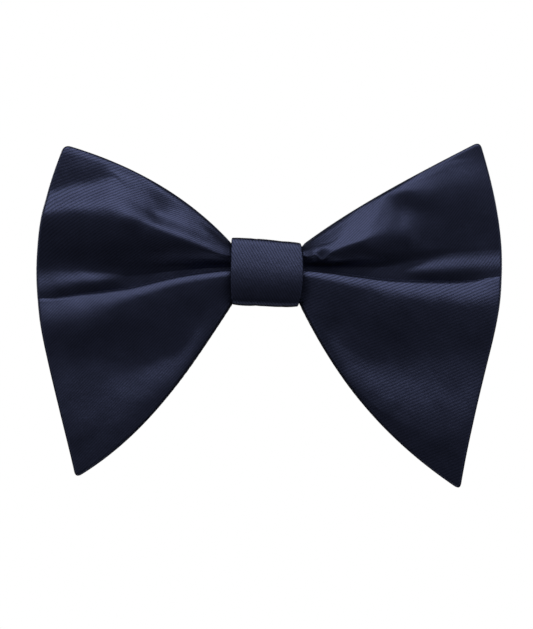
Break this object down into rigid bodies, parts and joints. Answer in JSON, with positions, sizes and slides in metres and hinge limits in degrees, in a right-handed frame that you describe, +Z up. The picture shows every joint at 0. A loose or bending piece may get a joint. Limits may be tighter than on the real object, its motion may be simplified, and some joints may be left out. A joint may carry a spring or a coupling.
{
  "type": "clip-on bow tie",
  "caption": "Pre-tied satin bow tie: padded wings gathered in a wrapped knot, with sprung, swivelling collar clips riveted to a bar behind the knot.",
  "frame": {"origin": "centre of the flat back of the knot wrap, where the knot rests against the wearer's collar", "axes": "+Z up as worn, +X towards the viewer's right when the bow is seen from the front, +Y towards the wearer, so the bow's front faces -Y"},
  "size_m": [0.1501, 0.0191, 0.11],
  "materials": {
    "satin_shell": "satin twill, dark navy",
    "interlining": "matt brushed cotton",
    "thread": "polyester sewing thread",
    "nickel_plate": "nickel-plated spring steel",
    "spring_wire": "drawn spring wire",
    "grip_vinyl": "soft vinyl, satin"
  },
  "bodies": {
    "bow": {"bow_front_panel": "satin_shell", "bow_back_panel": "satin_shell", "bow_interlining": "interlining", "edge_seam_thread": "thread", "waist_thread": "thread", "knot_wrap": "satin_shell", "knot_interlining": "interlining", "knot_seam_stitches": "thread", "carrier_bar": "nickel_plate", "left_swivel_rivet": "nickel_plate", "right_swivel_rivet": "nickel_plate"},
    "left_clip": {"left_clip_base": "nickel_plate", "left_grip_pad": "grip_vinyl", "left_hinge_pin": "nickel_plate", "left_torsion_spring": "spring_wire"},
    "left_lever": {"left_clip_lever": "nickel_plate"},
    "right_clip": {"right_clip_base": "nickel_plate", "right_grip_pad": "grip_vinyl", "right_hinge_pin": "nickel_plate", "right_torsion_spring": "spring_wire"},
    "right_lever": {"right_clip_lever": "nickel_plate"}
  },
  "joints": [
    {"name": "left_clip_swivel", "type": "hinge", "parent": "bow", "child": "left_clip", "pos_m": [-0.019, 0, 0], "axis": [0, 1, 0], "range_deg": [-20, 20]},
    {"name": "left_lever_hinge", "type": "hinge", "parent": "left_clip", "child": "left_lever", "pos_m": [-0.026, 0.00095, 0], "axis": [0, 0, -1], "range_deg": [0, 24], "stiffness_Nm_per_rad": 0.02, "springref_deg": -34.38, "deforming": ["left_torsion_spring"]},
    {"name": "right_clip_swivel", "type": "hinge", "parent": "bow", "child": "right_clip", "pos_m": [0.019, 0, 0], "axis": [0, 1, 0], "range_deg": [-20, 20]},
    {"name": "right_lever_hinge", "type": "hinge", "parent": "right_clip", "child": "right_lever", "pos_m": [0.026, 0.00095, 0], "axis": [0, 0, 1], "range_deg": [0, 24], "stiffness_Nm_per_rad": 0.02, "springref_deg": -34.38, "deforming": ["right_torsion_spring"]}
  ]
}
